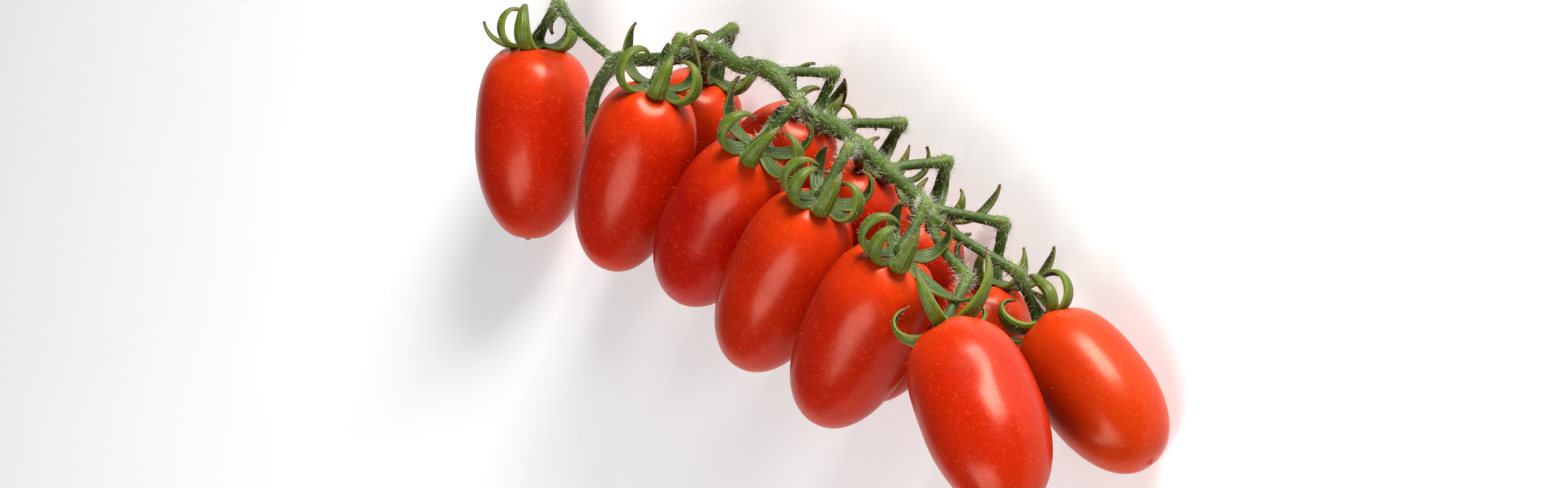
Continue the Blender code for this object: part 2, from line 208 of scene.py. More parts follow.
# Each sepal: its angle about the fruit's axis, its length in millimetres, how far it
# curls and the slope it starts with, in degrees, how far its tip sways sideways, in
# millimetres, its share of the full width, the share of its length over which it curls,
# and how far its tip hooks over beyond that, in degrees
Sepal = namedtuple("Sepal", "angle length curl slope sway width bend hook", defaults=(1.0, 45))
SEPALS = {
    "01": (
        Sepal(335, 22, 215, -10, 1.0, 0.85),
        Sepal(26, 23, 125, -14, -2.0, 1.10, 0.55, 130),
        Sepal(104, 27, 285, -12, 1.5, 1.15),
        Sepal(170, 20, 110, -5, 1.0, 0.85, 0.6),
        Sepal(275, 18, 60, -12, 2.0, 0.80),
    ),
    "02": (
        Sepal(352, 26, 235, -14, -1.0, 0.95),
        Sepal(47, 18, 112, -16, 2.0, 1.04, 0.40, 120),
        Sepal(100, 24, 205, -16, -1.0, 1.10),
        Sepal(165, 20, 110, -6, 0.5, 0.90, 0.55),
        Sepal(225, 17, 150, -6, 0.0, 0.85),
        Sepal(283, 20, 90, -6, 1.0, 0.90, 0.55),
    ),
    "03": (
        Sepal(20, 18, 150, -8, 1.0, 0.90),
        Sepal(95, 19, 190, -8, 1.0, 0.85),
        Sepal(160, 19, 200, -6, -1.0, 0.80),
        Sepal(230, 18, 120, -6, 1.0, 0.90, 0.6),
        Sepal(300, 20, 190, -6, 1.0, 0.80),
    ),
    "04": (
        Sepal(0, 18, 170, -8, 1.0, 0.85),
        Sepal(60, 17, 115, -8, 1.0, 1.10, 0.5),
        Sepal(120, 19, 200, -8, -1.5, 0.90),
        Sepal(200, 18, 120, -6, 1.0, 1.00, 0.6),
        Sepal(290, 18, 110, -6, 1.0, 0.85, 0.7),
    ),
    "05": (
        Sepal(348, 24, 225, -14, -1.5, 0.95),
        Sepal(36, 21, 112, -16, 3.0, 1.00, 0.40, 120),
        Sepal(100, 26, 200, -12, -2.0, 1.05),
        Sepal(158, 19, 150, -6, 1.0, 0.85),
        Sepal(220, 17, 150, -6, 0.0, 0.80),
        Sepal(292, 22, 84, -6, 2.5, 0.85, 0.5),
    ),
    "06": (
        Sepal(10, 17, 150, -8, 1.0, 0.85),
        Sepal(75, 17, 110, -8, 1.0, 0.95, 0.6),
        Sepal(140, 19, 110, -8, -1.0, 0.85, 0.7),
        Sepal(215, 18, 160, -6, 1.0, 0.80),
        Sepal(290, 19, 190, -6, 1.0, 0.80),
    ),
    "07": (
        Sepal(335, 23, 210, -12, 1.0, 0.90),
        Sepal(4, 23, 235, -16, -1.5, 0.95),
        Sepal(50, 19, 110, -16, 1.0, 1.02, 0.40, 120),
        Sepal(102, 22, 225, -14, -1.0, 1.00),
        Sepal(155, 19, 170, -10, 1.5, 1.05),
        Sepal(245, 17, 140, -6, 1.0, 0.80),
    ),
    "08": (
        Sepal(15, 17, 130, -8, 1.0, 0.85),
        Sepal(80, 16, 150, -8, 1.0, 0.85),
        Sepal(145, 20, 75, -8, -1.0, 1.15, 0.6),
        Sepal(215, 19, 90, -6, 1.0, 0.95, 0.6),
        Sepal(290, 18, 150, -6, 1.0, 0.80),
    ),
    "09": (
        Sepal(336, 24, 220, -12, 1.0, 0.90),
        Sepal(6, 21, 225, -16, -1.0, 0.95),
        Sepal(50, 18, 106, -16, 0.5, 1.02, 0.40, 60),
        Sepal(108, 23, 60, -16, -1.0, 0.90),
        Sepal(170, 18, 140, -8, 1.0, 0.85),
        Sepal(250, 17, 150, -6, 1.0, 0.80),
    ),
    "10": (
        Sepal(15, 16, 120, -8, 1.0, 0.85),
        Sepal(85, 16, 110, -8, 1.0, 0.90, 0.6),
        Sepal(150, 19, 80, -8, -1.0, 1.20, 0.6),
        Sepal(220, 18, 70, -6, 1.0, 0.90, 0.6),
        Sepal(290, 17, 140, -6, 1.0, 0.80),
    ),
    "11": (
        Sepal(22, 18, 62, 0, 1.0, 0.78, 0.6),
        Sepal(97, 21, 62, 0, 1.0, 0.98, 0.7),
        Sepal(165, 16, 60, 5, 1.0, 0.85),
        Sepal(240, 16, 60, 0, 1.0, 0.85),
        Sepal(306, 19, 170, -14, 1.0, 1.05),
    ),
    "12": (
        Sepal(335, 18, 200, -8, 1.0, 0.90),
        Sepal(64, 18, 118, -10, 1.5, 0.82, 0.5, 70),
        Sepal(108, 20, 190, -8, 1.0, 1.00),
        Sepal(180, 18, 110, -4, 1.0, 0.85, 0.7),
        Sepal(258, 16, 120, -4, 1.0, 0.80),
    ),
}
SEPAL_FLAT_SHARE = 0.12
SEPAL_WIDEST_AT = 0.18
TAPER_POWER = 2.3
HOOK_FROM = 0.55

# Hairs: how many, and their lengths and root radius
STEM_HAIRS = 9000
SEPAL_HAIRS = 260
SKIN_HAIRS = 90
HAIR_RADIUS = 0.038 * MM
STEM_HAIR_LENGTHS = (0.6 * MM, 1.9 * MM)
SEPAL_HAIR_LENGTHS = (0.4 * MM, 1.2 * MM)
SKIN_HAIR_LENGTHS = (0.4 * MM, 0.8 * MM)
BARE_HEIGHT = 2.0 * MM
HAIR_LEVELS = (0.0, 0.5, 1.0)
HAIR_WIDTHS = (1.0, 0.7, 0.1)
HAIR_LEAN = 0.35
HAIR_BEND = 0.25
HAIR_DROOP = 0.1
HAIRS_OFF_JOINTS = 0.25
STEM_SEED = 3
SEPAL_SEED = 4
SKIN_SEED = 5

# The camera looks at a point just beside the middle of the truss
CAMERA_AIM = Vector((8.9, 1.7, 30.0)) * MM
CAMERA_DISTANCE = 1001.5 * MM
CAMERA_RIGHT = Vector((0.6308, 0.3994, -0.6653))
CAMERA_UP = Vector((-0.4178, 0.8973, 0.1425))
CAMERA_BACK = Vector((0.6539, 0.1880, 0.7329))
LENS = 99.82
SENSOR = 36.0

# Studio: the floor, and each light's direction in view, distance, size and power
FLOOR_REACH = 3.0
FLOOR_DROP = 0.05 * MM
KEY_LIGHT = ((0.20, 0.82, 0.52), 0.75, (0.36, 0.32), 8.2)
FILL_LIGHT = ((-0.46, -0.50, 0.73), 0.80, (0.66, 0.46), 5.2)
WORLD_STRENGTH = 0.13


# ---------------------------------------------------------------- materials

def new_material(name, **values):
    """An empty material whose shader has these values on its own sockets."""
    material = bpy.data.materials.new(name)
    material.use_nodes = True
    shader = material.node_tree.nodes["Principled BSDF"]
    for socket, value in values.items():
        shader.inputs[socket.replace("_", " ")].default_value = value
    return material, material.node_tree, shader


def place_socket(tree):
    """The point on the surface, in metres."""
    return tree.nodes.new("ShaderNodeTexCoord").outputs["Object"]


def noise_socket(tree, size, detail=4.0, roughness=0.55):
    texture = tree.nodes.new("ShaderNodeTexNoise")
    texture.inputs["Scale"].default_value = 1 / size
    texture.inputs["Detail"].default_value = detail
    texture.inputs["Roughness"].default_value = roughness
    tree.links.new(place_socket(tree), texture.inputs["Vector"])
    return texture.outputs["Fac"]


def spots_socket(tree, spacing, radius, soft):
    """1 on small round spots about a spacing apart, and 0 between them."""
    texture = tree.nodes.new("ShaderNodeTexVoronoi")
    texture.inputs["Scale"].default_value = 1 / spacing
    tree.links.new(place_socket(tree), texture.inputs["Vector"])
    return remap(tree, texture.outputs["Distance"], radius / spacing, (radius - soft) / spacing)


def attribute_socket(tree, name):
    node = tree.nodes.new("ShaderNodeAttribute")
    node.attribute_name = name
    return node.outputs["Fac"]


def remap(tree, value, low, high, to_low=0.0, to_high=1.0):
    node = tree.nodes.new("ShaderNodeMapRange")
    tree.links.new(value, node.inputs["Value"])
    sockets = ("From Min", "From Max", "To Min", "To Max")
    for socket, number in zip(sockets, (low, high, to_low, to_high)):
        node.inputs[socket].default_value = number
    return node.outputs["Result"]


def multiply(tree, first, second):
    node = tree.nodes.new("ShaderNodeMath")
    node.operation = "MULTIPLY"
    for socket, value in zip(node.inputs, (first, second)):
        if isinstance(value, (int, float)):
            socket.default_value = value
        else:
            tree.links.new(value, socket)
    return node.outputs["Value"]


def mix(tree, factor, first, second):
    """A colour between two, each a socket or a triple."""
    node = tree.nodes.new("ShaderNodeMix")
    node.data_type = "RGBA"
    tree.links.new(factor, node.inputs["Factor"])
    for socket, colour in zip((node.inputs[6], node.inputs[7]), (first, second)):
        if isinstance(colour, tuple):
            socket.default_value = (*colour, 1.0)
        else:
            tree.links.new(colour, socket)
    return node.outputs[2]


def add_bump(tree, shader, height, distance):
    node = tree.nodes.new("ShaderNodeBump")
    node.inputs["Strength"].default_value = 1.0
    node.inputs["Distance"].default_value = distance
    tree.links.new(height, node.inputs["Height"])
    if shader.inputs["Normal"].links:
        tree.links.new(shader.inputs["Normal"].links[0].from_socket, node.inputs["Normal"])
    tree.links.new(node.outputs["Normal"], shader.inputs["Normal"])


def skin_material():
    """Glossy red skin: orange at the shoulder, partly its own colour and partly painted light, a
    painted reflection at the blossom end, tiny pale specks, faint streaks.
    """
    material, tree, shader = new_material(
        "tomato_skin", Subsurface_Weight=0.12, Subsurface_Scale=0.004,
        Subsurface_Radius=(1.0, 0.16, 0.05), Specular_Tint=(1.0, 0.66, 0.50, 1.0), IOR=1.40,
        Coat_Weight=0.08, Coat_Roughness=0.16, Coat_Tint=(1.0, 0.62, 0.45, 1.0))
    along = attribute_socket(tree, "along")
    deep = mix(tree, noise_socket(tree, 12 * MM, 3),
               (0.29, 0.0016, 0.0005), (0.44, 0.0085, 0.0010))
    red = mix(tree, attribute_socket(tree, "orange"), deep, (0.56, 0.070, 0.005))
    mottled = mix(tree, remap(tree, noise_socket(tree, 2.2 * MM, 5, 0.7), 0.45, 0.75, 0, 0.35),
                  red, (0.54, 0.030, 0.003))
    # Lighter orange towards the stem end, in patches: partly the fruit's own orange, partly
    # painted light where the light from above falls on the shoulder.
    shoulder_orange_and_light = multiply(tree, remap(tree, along, 0.66, 1.0),
                      remap(tree, noise_socket(tree, 7 * MM, 4), 0.3, 0.7, 0.45, 1.0))
    shoulder = mix(tree, shoulder_orange_and_light, mottled, (0.64, 0.060, 0.005))
    # Painted reflection: the blossom end made lighter and more orange, standing in for light
    # reflected onto the bottom of the fruit.
    blossom_end_reflection = mix(tree, remap(tree, along, 0.16, 0.0, 0, 0.5), shoulder, (0.58, 0.045, 0.004))
    streaks = remap(tree, noise_socket(tree, 0.9 * MM, 2, 0.5), 0.58, 0.70, 0, 0.16)
    streaked = mix(tree, streaks, blossom_end_reflection, (0.78, 0.16, 0.03))
    specks = multiply(tree, spots_socket(tree, 1.3 * MM, 0.11 * MM, 0.06 * MM), 0.55)
    speckled = mix(tree, specks, streaked, (0.95, 0.46, 0.20))
    scar = mix(tree, attribute_socket(tree, "scar"), speckled, (0.16, 0.07, 0.03))
    tree.links.new(scar, shader.inputs["Base Color"])
    tree.links.new(remap(tree, noise_socket(tree, 5 * MM, 4), 0.3, 0.7, 0.27, 0.37),
                   shader.inputs["Roughness"])
    add_bump(tree, shader, noise_socket(tree, 0.5 * MM, 3), 0.012 * MM)
    add_bump(tree, shader, noise_socket(tree, 3.5 * MM, 3), 0.05 * MM)
    return material


def stem_material():
    """Mottled green stem, lighter at its joints, brown at its cut end and scars."""
    material, tree, shader = new_material(
        "stem_green", Subsurface_Weight=0.04, Subsurface_Scale=0.001,
        Sheen_Weight=0.10, Sheen_Roughness=0.4)
    base = mix(tree, noise_socket(tree, 2.6 * MM, 5, 0.65),
               (0.012, 0.034, 0.003), (0.088, 0.142, 0.010))
    pale = mix(tree, remap(tree, noise_socket(tree, 0.7 * MM, 4, 0.7), 0.52, 0.75, 0, 0.45),
               base, (0.19, 0.25, 0.065))
    joint = mix(tree, multiply(tree, attribute_socket(tree, "joint"), 0.75),
                pale, (0.16, 0.24, 0.030))
    flecks = multiply(tree, spots_socket(tree, 2.4 * MM, 0.22 * MM, 0.12 * MM), 0.8)
    flecked = mix(tree, flecks, joint, (0.10, 0.045, 0.018))
    brown = mix(tree, attribute_socket(tree, "scar"), flecked, (0.17, 0.085, 0.035))
    cut = mix(tree, attribute_socket(tree, "cut"), brown, (0.42, 0.36, 0.17))
    tree.links.new(cut, shader.inputs["Base Color"])
    tree.links.new(remap(tree, noise_socket(tree, 1.5 * MM, 3), 0.3, 0.7, 0.42, 0.65),
                   shader.inputs["Roughness"])
    add_bump(tree, shader, noise_socket(tree, 0.35 * MM, 4, 0.7), 0.06 * MM)
    return material


def sepal_material(name, colour, dark, margin, vein_strength):
    """A sepal's face: veins along it, paler margins and a brown tip."""
    material, tree, shader = new_material(
        name, Subsurface_Weight=0.06, Subsurface_Scale=0.001,
        Sheen_Weight=0.08, Sheen_Roughness=0.4)
    across = attribute_socket(tree, "across")
    along = attribute_socket(tree, "along")
    base = mix(tree, noise_socket(tree, 1.6 * MM, 5, 0.65), dark, colour)
    wave = tree.nodes.new("ShaderNodeMath")
    wave.operation = "SINE"
    tree.links.new(multiply(tree, across, 16.0), wave.inputs[0])
    veins = remap(tree, wave.outputs["Value"], 0.55, 1.0, 0, vein_strength)
    veined = mix(tree, veins, base, margin)
    edge = multiply(tree, remap(tree, multiply(tree, across, across), 0.55, 0.98), 0.75)
    edged = mix(tree, edge, veined, margin)
    specks = multiply(tree, spots_socket(tree, 1.3 * MM, 0.16 * MM, 0.08 * MM), 0.7)
    specked = mix(tree, specks, edged, (0.05, 0.06, 0.02))
    blush = multiply(tree, remap(tree, along, 0.72, 0.97),
                     remap(tree, noise_socket(tree, 1.2 * MM, 3), 0.35, 0.6, 0.2, 1.0))
    blushed = mix(tree, multiply(tree, blush, 0.75), specked, (0.20, 0.10, 0.03))
    tipped = mix(tree, remap(tree, along, 0.93, 0.99), blushed, (0.14, 0.035, 0.018))
    tree.links.new(tipped, shader.inputs["Base Color"])
    tree.links.new(remap(tree, noise_socket(tree, 1.2 * MM, 3), 0.3, 0.7, 0.36, 0.58),
                   shader.inputs["Roughness"])
    add_bump(tree, shader, wave.outputs["Value"], 0.03 * MM)
    add_bump(tree, shader, noise_socket(tree, 0.4 * MM, 4, 0.7), 0.05 * MM)
    return material


def hair_material(name, pale, dull):
    material, tree, shader = new_material(name, Roughness=0.35)
    colour = mix(tree, noise_socket(tree, 1.5 * MM, 2), dull, pale)
    tree.links.new(colour, shader.inputs["Base Color"])
    return material


def floor_material():
    """A plain pale matt surface with the faintest unevenness."""
    material, tree, shader = new_material("floor_paper", Roughness=0.9)
    colour = mix(tree, noise_socket(tree, 40 * MM, 3), (0.90, 0.90, 0.90), (0.93, 0.93, 0.93))
    tree.links.new(colour, shader.inputs["Base Color"])
    return material


# ---------------------------------------------------------------- pieces

def make_mesh_object(name, points, faces, materials):
    mesh = bpy.data.meshes.new(name)
    mesh.from_pydata(np.asarray(points).tolist(), [], faces)
    mesh.shade_smooth()
    for material in materials:
        mesh.materials.append(material)
    obj = bpy.data.objects.new(name, mesh)
    bpy.context.scene.collection.objects.link(obj)
    return obj


def set_attribute(mesh, name, values):
    layer = mesh.attributes.new(name, "FLOAT", "POINT")
    layer.data.foreach_set("value", np.asarray(values, np.float32))


def finish_piece(obj, slot, *nodes):
    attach(obj, BODY)
    if nodes:
        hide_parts(*nodes)


def lumps(points, size, offset=0.0):
    """Smooth noise between -1 and 1 at each point."""
    return np.array([noise.noise(Vector(p) / size + Vector((offset, 0, 0))) for p in points])


# ---------------------------------------------------------------- fruits

FruitPlace = namedtuple("FruitPlace", "matrix radius half_length seat")


def node_points(node):
    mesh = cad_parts[node].data
    flat = np.zeros(3 * len(mesh.vertices))
    mesh.vertices.foreach_get("co", flat)
    return np.unique(flat.reshape(-1, 3).round(7), axis=0)


def fruit_place(number):
    """A fruit's frame and size, read from its CAD solid and that of its calyx."""
    points = node_points("tomato_" + number)
    calyx = node_points("calyx_" + number)
    middle = points.mean(0)
    _, _, directions = np.linalg.svd(points - middle, full_matrices=False)
    axis = Vector(directions[0])
    if axis.dot(Vector(calyx.mean(0) - middle)) < 0:
        axis.negate()
    up = (Vector((0, 0, 1)) - axis * axis.z).normalized()
    along = (points - middle) @ np.array(axis)
    half_length = (np.ptp(along) + DIMPLE_DEPTH) / 2
    centre = Vector(middle) + axis * (along.min() + half_length)
    matrix = Matrix((up, axis.cross(up), axis)).transposed().to_4x4()
    matrix.translation = centre
    out = points - middle - np.outer(along, np.array(axis))
    seat = ((calyx - np.array(centre)) @ np.array(axis)).min()
    return FruitPlace(matrix, np.linalg.norm(out, axis=1).max(), half_length, seat)


def bell(value, width):
    return np.exp(-((value / width) ** 2))


def fruit_points(place, number):
    """Rings of points from the blossom end to the stem end, in the fruit's frame."""
    rise = np.linspace(-0.5, 0.5, FRUIT_RINGS + 1)[:, None] * math.pi
    turn = np.linspace(0, math.tau, FRUIT_SIDES, endpoint=False)[None, :]
    power = np.where(rise > 0, SHOULDER_POWER, BLOSSOM_POWER)
    across = place.radius * SHRINK * np.cos(rise).clip(0) ** (2 / power)
    along = place.half_length * np.sign(rise) * np.abs(np.sin(rise)) ** (2 / power)
    seed = int(number)
    flats = TWO_FLATS * np.cos(2 * turn + seed) + THREE_FLATS * np.cos(3 * turn + 2 * seed)
    body = np.cos(rise).clip(0) ** 0.5
    skew = SKEWS.get(number, 0.0)
    radius = across * (1 + skew * np.sin(rise) - body * (SKIN_INSET + flats) - abs(skew) / 2)
    upper = rise > 0
    along = along - upper * DIMPLE_DEPTH * bell(across, DIMPLE_RADIUS)
    folds = np.cos(5 * turn + seed) + 0.6 * np.cos(3 * turn + 1.7 * seed)
    near_shoulder = bell(across - FURROW_RADIUS, FURROW_WIDTH) * upper
    along = along - FURROW_DEPTH * near_shoulder * (FURROW_EVEN + FURROW_UNEVEN * folds)
    lower = 1 - upper
    along = along - lower * NUB_HEIGHT * bell(across, NUB_RADIUS)
    along = along + lower * NUB_DENT * bell(across, NUB_DENT_RADIUS)
    grid = np.stack([radius * np.cos(turn), radius * np.sin(turn), along + 0 * turn], 2)
    return grid


def dented(grid, place, number):
    """Push in a soft dent where this fruit has one."""
    if number not in DENTS:
        return grid
    angle, share, depth = DENTS[number]
    turn = math.radians(angle)
    outward = np.array((math.cos(turn), math.sin(turn), 0))
    spot = outward * place.radius + np.array((0, 0, share * place.half_length))
    away = np.linalg.norm(grid - spot, axis=2)
    return grid - outward * (depth * bell(away, DENT_RADIUS))[:, :, None]


def grid_faces(rings, sides):
    """Quads between rings of points that close round, first ring first."""
    faces = []
    for ring in range(rings - 1):
        low = ring * sides
        for side in range(sides):
            after = (side + 1) % sides
            faces.append((low + side, low + after, low + sides + after, low + sides + side))
    return faces


def make_fruit(number, place, skin):
    grid = dented(fruit_points(place, number), place, number)
    inner = grid[1:-1].reshape(-1, 3)
    outward = inner / np.linalg.norm(inner, axis=1)[:, None]
    bumps = lumps(inner, LUMP_SIZE, 10 * int(number)).clip(-1, LUMP_TOP)
    inner = inner + outward * (bumps * LUMP_HEIGHT)[:, None]
    points = np.vstack([grid[0, :1], inner, grid[-1, :1]])
    last = len(points) - 1
    faces = [tuple(i + 1 for i in face) for face in grid_faces(FRUIT_RINGS - 1, FRUIT_SIDES)]
    top = last - FRUIT_SIDES
    for side in range(FRUIT_SIDES):
        after = (side + 1) % FRUIT_SIDES
        faces.append((0, 1 + after, 1 + side))
        faces.append((top + side, top + after, last))
    obj = make_mesh_object("fruit_" + number, points, faces, [skin])
    share = (points[:, 2] / place.half_length + 1) / 2
    from_axis = np.linalg.norm(points[:, :2], axis=1)
    set_attribute(obj.data, "along", share)
    set_attribute(obj.data, "orange", np.full(len(points), ORANGES.get(number, 0.0)))
    set_attribute(obj.data, "scar", bell(from_axis, SCAR_RADIUS) * (share < 0.5))
    obj.data.transform(place.matrix)
    finish_piece(obj, "tomato_skin", "tomato_" + number)
    return obj


# ---------------------------------------------------------------- stems

def smooth_route(points, step):
    """Points about a step apart on a Catmull-Rom curve through the given points."""
    ends = [points[0] * 2 - points[1]] + list(points) + [points[-1] * 2 - points[-2]]
    route = []
    for a, b, c, d in zip(ends, ends[1:], ends[2:], ends[3:]):
        steps = max(2, round((c - b).length / step))
        for index in range(steps):
            t = index / steps
            curve = (c - a) * t + (a * 2 - b * 5 + c * 4 - d) * t ** 2
            curve += (b * 3 - a - c * 3 + d) * t ** 3
            route.append(b + curve * 0.5)
    route.append(points[-1].copy())
    return route


def tube(route, radii, sides, squareness=None):
    """Points and faces of a closed tube along a route. squareness makes rings boxy."""
    points = []
    across = None
    for index, point in enumerate(route):
        before = route[max(index - 1, 0)]
        after = route[min(index + 1, len(route) - 1)]
        along = (after - before).normalized()
        if across is None:
            across = along.orthogonal().normalized()
        across = (across - along * across.dot(along)).normalized()
        other = along.cross(across)
        boxy = squareness[index] if squareness else 0
        for side in range(sides):
            turn = math.tau * side / sides
            radius = radii[index] * (1 + boxy * KNUCKLE_BOXINESS * math.cos(4 * turn))
            points.append(point + (across * math.cos(turn) + other * math.sin(turn)) * radius)
    faces = [tuple(reversed(range(sides)))]
    faces += grid_faces(len(route), sides)
    faces.append(tuple(range(len(points) - sides, len(points))))
    return points, faces


def stem_layout():
    """The main stem's route in the row frame: the CAD route, moved into its CAD box."""
    route = smooth_route([Vector(p) * FRUIT_DIAMETER for p in STEM_ROUTE], TUBE_STEP)
    low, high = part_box("main_stem")
    middle = Vector((min(p[i] for p in route) + max(p[i] for p in route)) / 2 for i in range(3))
    move = (low + high) / 2 - middle
    return [p + move for p in route], move


def stem_node(route, across):
    """Point of the main stem beyond the peduncle nearest to a place along X."""
    beyond = [p for p in route if p.z > FRUIT_DIAMETER]
    return min(beyond, key=lambda p: abs(p.x - across))


def pedicel_path(number, place, stem, move):
    """A pedicel's route and its knuckle, from inside the main stem to the calyx."""
    pedicel = PEDICELS[number]
    node = stem_node(stem, pedicel.node * FRUIT_DIAMETER + move.x)
    stem_end = place.matrix @ Vector((0, 0, place.half_length))
    knuckle = stem_end + Vector(pedicel.knuckle) * MM
    end = place.matrix @ Vector((0, 0, place.seat + PEDICEL_SEAT))
    near_end = place.matrix @ Vector((0, 0, place.seat + PEDICEL_RISE))
    before = knuckle + (node - knuckle).normalized() * KNUCKLE_BEND
    after = knuckle + (near_end - knuckle).normalized() * KNUCKLE_BEND
    arch = (node + before) / 2 + Vector((0, 0, PEDICEL_ARCH)) * (node - before).length
    route = smooth_route([node, arch, before, knuckle, after, near_end, end], TUBE_STEP)
    return route, knuckle, node


def pedicel_tube(route, knuckle):
    """A pedicel that swells at its knuckle, has a groove past it and flares at its end."""
    radii = []
    boxy = []
    nearest = min(range(len(route)), key=lambda i: (route[i] - knuckle).length)
    for index, point in enumerate(route):
        away = (point - knuckle).length
        swell = bell(away, KNUCKLE_LENGTH)
        flare = bell((point - route[-1]).length, PEDICEL_FLARE)
        groove = bell(away - GROOVE_OFFSET, GROOVE_WIDTH) if index > nearest else 0.0
        radius = PEDICEL_RADIUS + (KNUCKLE_RADIUS - PEDICEL_RADIUS) * swell
        radius += (PEDICEL_END_RADIUS - PEDICEL_RADIUS) * flare - GROOVE_DEPTH * groove
        radii.append(radius)
        boxy.append(swell)
    return tube(route, radii, TUBE_SIDES, boxy)


def main_stem_radii(route, move, nodes):
    radii = []
    for point in route:
        across = (point.x - move.x) / FRUIT_DIAMETER
        thick = min(max((across - STEM_THICKENS_AT) * STEM_THICKENING + 0.5, 0), 1)
        taper = max((across - STEM_TAPERS_FROM) / STEM_TAPERS_OVER, 0)
        radius = PEDUNCLE_RADIUS + (STEM_RADIUS - PEDUNCLE_RADIUS) * thick
        radius += (STEM_TIP_RADIUS - STEM_RADIUS) * min(taper, 1)
        closest = min((point - node).length for node in nodes)
        radii.append(radius + NODE_SWELL * bell(closest, NODE_REACH))
    return radii


def joined(meshes):
    """Several (points, faces) as one."""
    points = []
    faces = []
    for more_points, more_faces in meshes:
        base = len(points)
        points += list(more_points)
        faces += [tuple(i + base for i in face) for face in more_faces]
    return points, faces


def evaluated(obj):
    """Replace an object's mesh with what its modifiers make of it."""
    graph = bpy.context.evaluated_depsgraph_get()
    mesh = bpy.data.meshes.new_from_object(obj.evaluated_get(graph))
    obj.modifiers.clear()
    obj.data = mesh
    return mesh


def mesh_points(mesh):
    flat = np.zeros(3 * len(mesh.vertices))
    mesh.vertices.foreach_get("co", flat)
    return flat.reshape(-1, 3)


def mesh_normals(mesh):
    flat = np.zeros(3 * len(mesh.vertices))
    mesh.vertex_normals.foreach_get("vector", flat)
    return flat.reshape(-1, 3)


def closeness(points, spots, reach):
    tree = KDTree(len(spots))
    for index, spot in enumerate(spots):
        tree.insert(spot, index)
    tree.balance()
    return bell(np.array([tree.find(p)[2] for p in points]), reach)


def make_stems(places, green):
    """The main stem and the twelve pedicels, grown together as one smooth mesh."""
    stem, move = stem_layout()
    paths = {n: pedicel_path(n, places[n], stem, move) for n in NUMBERS}
    nodes = [path[2] for path in paths.values()]
    knuckles = [path[1] for path in paths.values()]
    tubes = [tube(stem, main_stem_radii(stem, move, nodes), TUBE_SIDES)]
    tubes += [pedicel_tube(path[0], path[1]) for path in paths.values()]
    obj = make_mesh_object("stems", *joined(tubes), [green])
    fuse = obj.modifiers.new("fuse", "REMESH")
    fuse.mode = "VOXEL"
    fuse.voxel_size = FUSE_VOXEL
    soften = obj.modifiers.new("soften", "SMOOTH")
    soften.factor = SOFTEN_FACTOR
    soften.iterations = SOFTEN_PASSES
    mesh = evaluated(obj)
    points = mesh_points(mesh)
    normals = mesh_normals(mesh)
    height = lumps(points, STEM_LUMP_SIZE) * STEM_LUMP
    height += lumps(points, FINE_LUMP_SIZE, 9) * FINE_LUMP
    start = np.array(stem[0])
    inward = np.array((stem[3] - stem[0]).normalized())
    cut = ((points - start) @ inward < CUT_DEPTH) * 1.0
    height *= 1 - cut
    points = points + normals * height[:, None]
    mesh.vertices.foreach_set("co", points.ravel())
    mesh.shade_smooth()
    near_nodes = closeness(points, nodes, NODE_JOINT_REACH)
    joint = np.maximum(closeness(points, knuckles, JOINT_REACH), NODE_JOINT_SHARE * near_nodes)
    set_attribute(mesh, "joint", joint)
    set_attribute(mesh, "cut", cut)
    knuckle_tops = [k + Vector((0, 0, KNUCKLE_RADIUS)) for k in knuckles]
    scars = closeness(points, knuckle_tops, KNUCKLE_SCAR_RADIUS)
    set_attribute(mesh, "scar", KNUCKLE_SCAR_SHARE * scars)
    finish_piece(obj, "stem_green", "main_stem", *["pedicel_" + n for n in NUMBERS])
    return obj, joint


# ---------------------------------------------------------------- calyxes

def sepal_centreline(sepal, seat):
    """Points (out, side, up) and headings of a sepal that curls up and back."""
    share = np.linspace(0, 1, SEPAL_STEPS + 1)
    curled = ((share - SEPAL_FLAT_SHARE) / ((1 - SEPAL_FLAT_SHARE) * sepal.bend)).clip(0, 1)
    hooked = ((share - HOOK_FROM) / (1 - HOOK_FROM)).clip(0)
    heading = np.radians(sepal.slope + sepal.curl * curled + sepal.hook * hooked * hooked)
    step = sepal.length * MM / SEPAL_STEPS
    out = SEPAL_START + np.concatenate([[0], np.cumsum(np.cos(heading[:-1]))]) * step
    up = seat + HUB_RISE / 2 + np.concatenate([[0], np.cumsum(np.sin(heading[:-1]))]) * step
    side = sepal.sway * MM * share ** 2
    return share, np.stack([out, side, up], 1), heading


def sepal_half_width(share, width):
    """Half the width: it swells past the root and tapers to a point."""
    root = SEPAL_ROOT_WIDTH / 2
    widest = SEPAL_WIDTH * width / 2
    swell = np.minimum(share / SEPAL_WIDEST_AT, 1)
    growing = root + (widest - root) * swell * swell * (3 - 2 * swell)
    taper = 1 - ((share - SEPAL_WIDEST_AT).clip(0) / (1 - SEPAL_WIDEST_AT)) ** TAPER_POWER
    return growing * taper.clip(SEPAL_TIP_SHARE) + SEPAL_TIP


